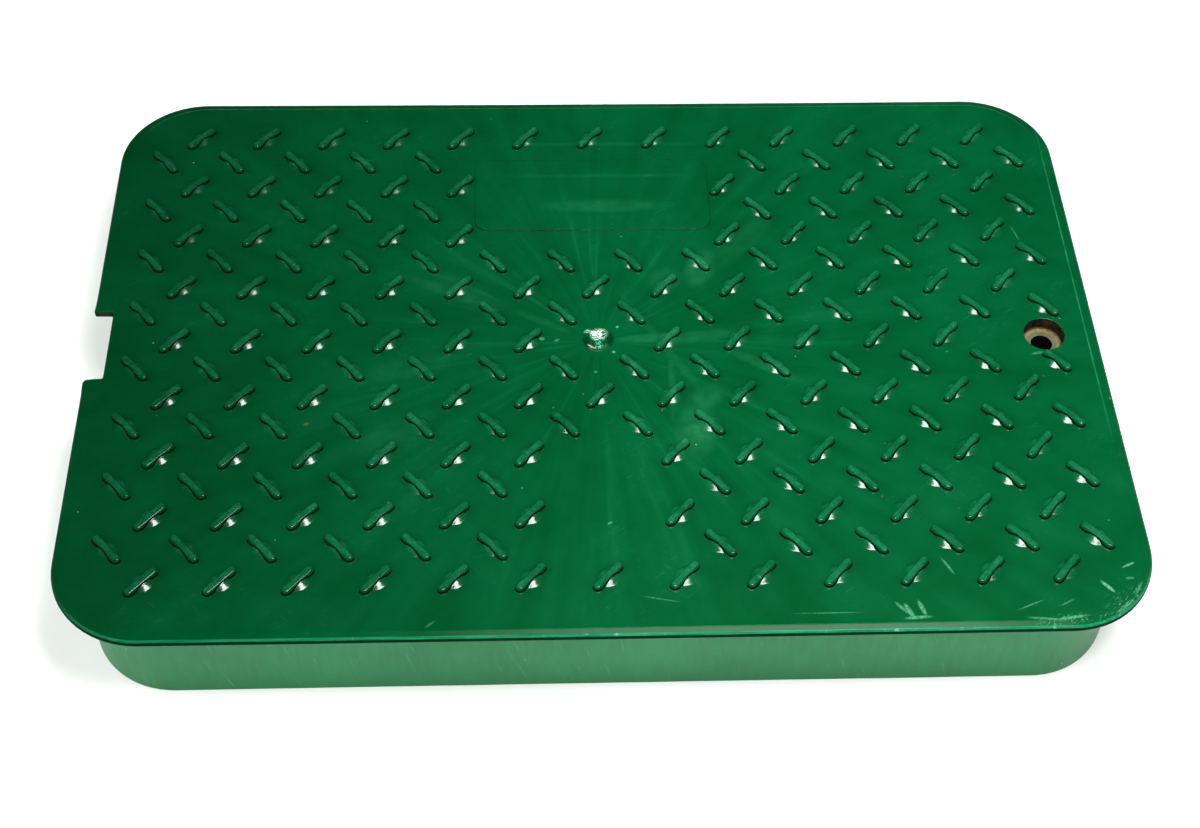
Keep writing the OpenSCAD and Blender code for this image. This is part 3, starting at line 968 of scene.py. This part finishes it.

# painted shade: near black in the corner along each bar, under the rim and along the badge's front edge
painted_shade = G.attr("painted_shade")
shade_edge = G.ramp(G.add(painted_shade, G.mul(G.sub(G.noise(1.6, 2.0, 0.6), 0.5), 0.3)), 0.15, 0.65)
col = G.mix(G.mul(shade_edge, 0.94), col, (0.0, 0.0040, 0.0014))
spec = G.lerp(shade_edge, spec, 0.02)
rough = G.lerp(shade_edge, rough, 0.6)

# skirt: paler, satin, with dust and a few vertical rubs, painted shade towards the foot and a painted shadow under the
# flange
skirt = G.attr("skirt")
sk_n = G.add(G.mul(mottle, 0.6), G.mul(G.noise(1.0, 3.0, 0.6, G.vec(G.mul(G.x, 0.30), G.mul(G.y, 0.30), G.mul(G.z, 0.05))), 0.4))
sk_col = G.mix(G.ramp(sk_n, 0.38, 0.62, 0.0, 1.0, "LINEAR"), (0.002, 0.104, 0.028), (0.005, 0.134, 0.041))
# painted shade: darker towards the foot
sk_col = G.mix(G.ramp(G.z, 20.0, 0.0, 0.0, 0.45, "LINEAR"), sk_col, (0.001, 0.075, 0.020))
rub = G.ramp(G.noise(1.0, 2.0, 0.5, G.vec(G.mul(G.add(G.x, G.mul(G.z, 0.25)), 1.1), G.mul(G.y, 1.1), G.mul(G.z, 0.06))), 0.66, 0.76)
sk_col = G.mix(G.mul(rub, 0.25), sk_col, (0.08, 0.28, 0.16))
sk_col = G.mix(G.mul(G.mul(dot, G.ramp(pick.outputs[2], 0.86, 0.88)), 0.5), sk_col, (0.34, 0.52, 0.42))
# painted shadow under the flange: near black along the skirt's top
sk_col = G.mix(G.ramp(G.z, 42.5, 46.5, 0.0, 0.9), sk_col, (0.0, 0.012, 0.004))
col = G.mix(skirt, col, sk_col)
rough = G.lerp(skirt, rough, 0.42)
spec = G.lerp(skirt, spec, 0.20)

# underside and inside of the skirt: plain, duller
inner = G.attr("inner")
col = G.mix(inner, col, G.mix(G.ramp(mottle, 0.35, 0.65, 0.0, 1.0, "LINEAR"), (0.001, 0.070, 0.020), (0.004, 0.105, 0.034)))
rough = G.lerp(inner, rough, 0.38)

# bolt recess: dark brown-black wall, cream deposit on the ledge, painted shade in the through hole
dx = G.sub(G.x, BX)
hr = G.math("SQRT", G.add(G.mul(dx, dx), G.mul(G.y, G.y)))
hn0 = G.noise(2.2, 3.0, 0.65)
hn = G.mul(G.sub(hn0, 0.5), 2.6)
in_rec = G.mul(G.ramp(G.add(hr, G.mul(hn, 0.08)), 8.92, 8.72), G.ramp(G.z, 34.5, 35.5))
led = G.mix(G.ramp(G.add(hr, hn), 8.4, 7.5), (0.055, 0.028, 0.010), (0.25, 0.165, 0.080))
led = G.mix(G.ramp(G.add(hr, G.mul(hn, 0.6)), 7.4, 6.1), led, (0.105, 0.125, 0.068))
led = G.mix(G.mul(G.ramp(cloth, 0.5, 0.62), 0.5), led, (0.08, 0.065, 0.030))
led = G.mix(G.ramp(G.z, 43.2, 44.2), led, G.mix(G.ramp(hn0, 0.4, 0.62), (0.003, 0.003, 0.002), (0.020, 0.011, 0.005)))
# painted shade: the through hole near black
led = G.mix(G.ramp(hr, 4.75, 4.58), led, (0.002, 0.0025, 0.002))
col = G.mix(in_rec, col, led)
rough = G.lerp(in_rec, rough, 0.75)
spec = G.lerp(in_rec, spec, 0.08)

# notch's back wall: painted shade in near-black green, with brown soil patches
nt_ = G.mul(G.mul(G.ramp(G.x, -206.0, -208.0), G.ramp(G.y, 16.4, 17.4)), G.mul(G.ramp(G.y, 19.0, 18.0), G.ramp(G.z, 49.6, 48.9)))
nt_ = G.mul(nt_, G.ramp(hn0, 0.3, 0.5, 0.6, 1.0, "LINEAR"))
col = G.mix(nt_, col, G.mix(G.ramp(cloth, 0.45, 0.6), (0.0, 0.012, 0.004), (0.022, 0.018, 0.008)))
rough = G.lerp(nt_, rough, 0.8)
spec = G.lerp(nt_, spec, 0.1)

# gate mark: torn, with a painted highlight at the back of the dish and on the stub, one brown edge on the stub,
# painted shade on the flanks
tear = G.noise(1.0, 3.0, 0.65, G.place(0, 0, 8, 1.3, 0.5))
flank_shade = G.mul(G.blobs(((-4.9, 1.2, 0, 2.2, 4.4), (5.4, 1.8, 0, 2.2, 4.8)), 0.8), 0.75)
col = G.mix(flank_shade, col, (0.0, 0.014, 0.004))
# painted highlight: whitish patch at the back of the dish, broken up by the tear noise
glint_back = G.blobs(((0.6, 5.2, 0, 4.4, 3.2), (-4.4, 6.4, 30, 2.0, 1.0, 0.6)), 0.7)
white = G.mul(glint_back, G.ramp(tear, 0.42, 0.56))
col = G.mix(G.mul(white, 0.75), col, (0.36, 0.56, 0.45))
spec = G.lerp(G.mul(G.blob(0.0, 4.6, 0, 7.5, 4.6, 0.3), G.sub(1.0, white)), spec, 0.12)
# painted highlight: light green on the stub
stub_glint = G.mul(G.blob(0.5, 0.0, 0, 2.2, 2.4, 0.6), G.ramp(tear, 0.42, 0.60))
col = G.mix(G.mul(stub_glint, 0.8), col, (0.10, 0.52, 0.30))
tan = G.mul(G.blob(-2.5, -1.3, -25, 2.5, 0.9, 0.5), G.ramp(tear, 0.3, 0.48))
col = G.mix(G.mul(tan, 0.9), col, (0.42, 0.33, 0.25))

G.feed(G.bsdf.inputs["Base Color"], col)
G.feed(G.bsdf.inputs["Roughness"], rough)
G.feed(G.bsdf.inputs["Specular IOR Level"], spec)
G.bsdf.inputs["IOR"].default_value = 1.5
fine = G.bump(grain, 0.000003)
G.t.links.new(G.bump(G.add(flow, G.mul(cloth, 0.8)), 0.00005, fine), G.bsdf.inputs["Normal"])
me.materials.append(G.mat)

# ------------------------------------------------------------------ floor and light
fm = bpy.data.meshes.new("floor")
fm.from_pydata([(-4, -4, 0), (4, -4, 0), (4, 4, 0), (-4, 4, 0)], [], [(0, 1, 2, 3)])
floor = bpy.data.objects.new("floor", fm)
bpy.context.scene.collection.objects.link(floor)
F = Nodes("floor_white")
F.feed(F.bsdf.inputs["Base Color"], F.mix(F.ramp(F.noise(160.0, 4.0, 0.6), 0.35, 0.65, 0.0, 1.0, "LINEAR"), (0.80, 0.80, 0.792), (0.84, 0.84, 0.832)))
F.bsdf.inputs["Roughness"].default_value = 0.9
F.bsdf.inputs["Specular IOR Level"].default_value = 0.15
F.t.links.new(F.bump(F.noise(0.6, 3.0, 0.6), 0.00002), F.bsdf.inputs["Normal"])
fm.materials.append(F.mat)


def area(name, loc, target, size, size_y, power, color=(1, 1, 1)):
    l = bpy.data.lights.new(name, "AREA")
    l.shape, l.size, l.size_y, l.energy, l.color = "RECTANGLE", size, size_y, power, color
    ob = bpy.data.objects.new(name, l)
    bpy.context.scene.collection.objects.link(ob)
    ob.location = loc
    ob.rotation_euler = (Vector(target) - Vector(loc)).to_track_quat("-Z", "Y").to_euler()
    return ob


area("top", (0.15, -0.19, 0.76), (0.10, -0.10, 0.0), 0.34, 0.36, 9.2)
for fill in (area("front", (-0.3, -1.9, 1.2), (0.0, -0.1, 0.0), 2.4, 1.2, 46),
             area("left", (-2.0, 0.2, 0.85), (0.0, 0.0, 0.0), 2.4, 1.0, 62),
             area("right", (2.0, 0.2, 0.85), (0.0, 0.0, 0.0), 2.4, 1.0, 40),
             area("back", (-0.2, 2.6, 0.9), (0.0, 0.0, 0.0), 3.0, 1.0, 12)):
    fill.visible_glossy = False                                      # soft fill only, so the gloss keeps one highlight
world = bpy.data.worlds.new("world")
world.use_nodes = True
world.node_tree.nodes["Background"].inputs[0].default_value = (0.5, 0.5, 0.5, 1)
world.node_tree.nodes["Background"].inputs[1].default_value = 0.02
bpy.context.scene.world = world
bpy.context.scene.view_settings.view_transform = "Standard"

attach(cover, "root")
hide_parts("cover")
